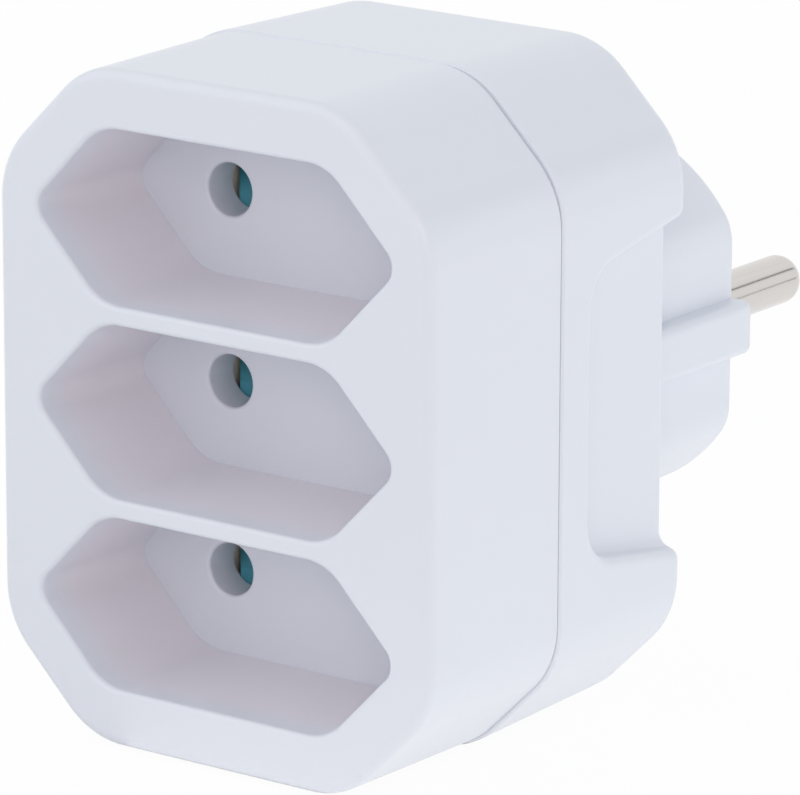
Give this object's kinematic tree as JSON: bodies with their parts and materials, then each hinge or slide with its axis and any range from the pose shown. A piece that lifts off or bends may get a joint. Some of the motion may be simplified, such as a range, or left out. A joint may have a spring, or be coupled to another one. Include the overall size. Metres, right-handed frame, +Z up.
{
  "type": "plug adapter",
  "caption": "White multi-way adapter with stacked hexagonal wells for flat two-pin plugs, sprung safety shutters and a round contour plug at its back.",
  "frame": {"origin": "on the ground under the middle of the whole depth, from the front face to the pin tips", "axes": "+X to the right of someone who faces the wells, +Y from the wells back to the plug pins, +Z up"},
  "size_m": [0.0492, 0.079, 0.0637],
  "materials": {
    "white_plastic": "satin",
    "grey_plastic": "matte",
    "teal_plastic": "satin",
    "nickel": "nickel plate over turned metal",
    "contact_brass": "bare stamped strip",
    "spring_steel": "drawn wire"
  },
  "bodies": {
    "adapter": {"front_cover": "white_plastic", "rear_cover": "white_plastic", "contact_carrier": "grey_plastic", "contact_strip_left": "contact_brass", "contact_strip_right": "contact_brass", "plug_pin_left": "nickel", "plug_pin_right": "nickel", "shutter_spring_top": "spring_steel", "shutter_spring_middle": "spring_steel", "shutter_spring_bottom": "spring_steel"},
    "shutter_top": {"shutter_top": "teal_plastic"},
    "shutter_middle": {"shutter_middle": "teal_plastic"},
    "shutter_bottom": {"shutter_bottom": "teal_plastic"}
  },
  "joints": [
    {"name": "shutter_top_slide", "type": "slide", "parent": "adapter", "child": "shutter_top", "axis": [0, 0, -1], "range_m": [0, 0.005], "stiffness_N_per_m": 40, "springref_m": -0.005, "deforming": ["shutter_spring_top"]},
    {"name": "shutter_middle_slide", "type": "slide", "parent": "adapter", "child": "shutter_middle", "axis": [0, 0, -1], "range_m": [0, 0.005], "stiffness_N_per_m": 40, "springref_m": -0.005, "deforming": ["shutter_spring_middle"]},
    {"name": "shutter_bottom_slide", "type": "slide", "parent": "adapter", "child": "shutter_bottom", "axis": [0, 0, -1], "range_m": [0, 0.005], "stiffness_N_per_m": 40, "springref_m": -0.005, "deforming": ["shutter_spring_bottom"]}
  ]
}
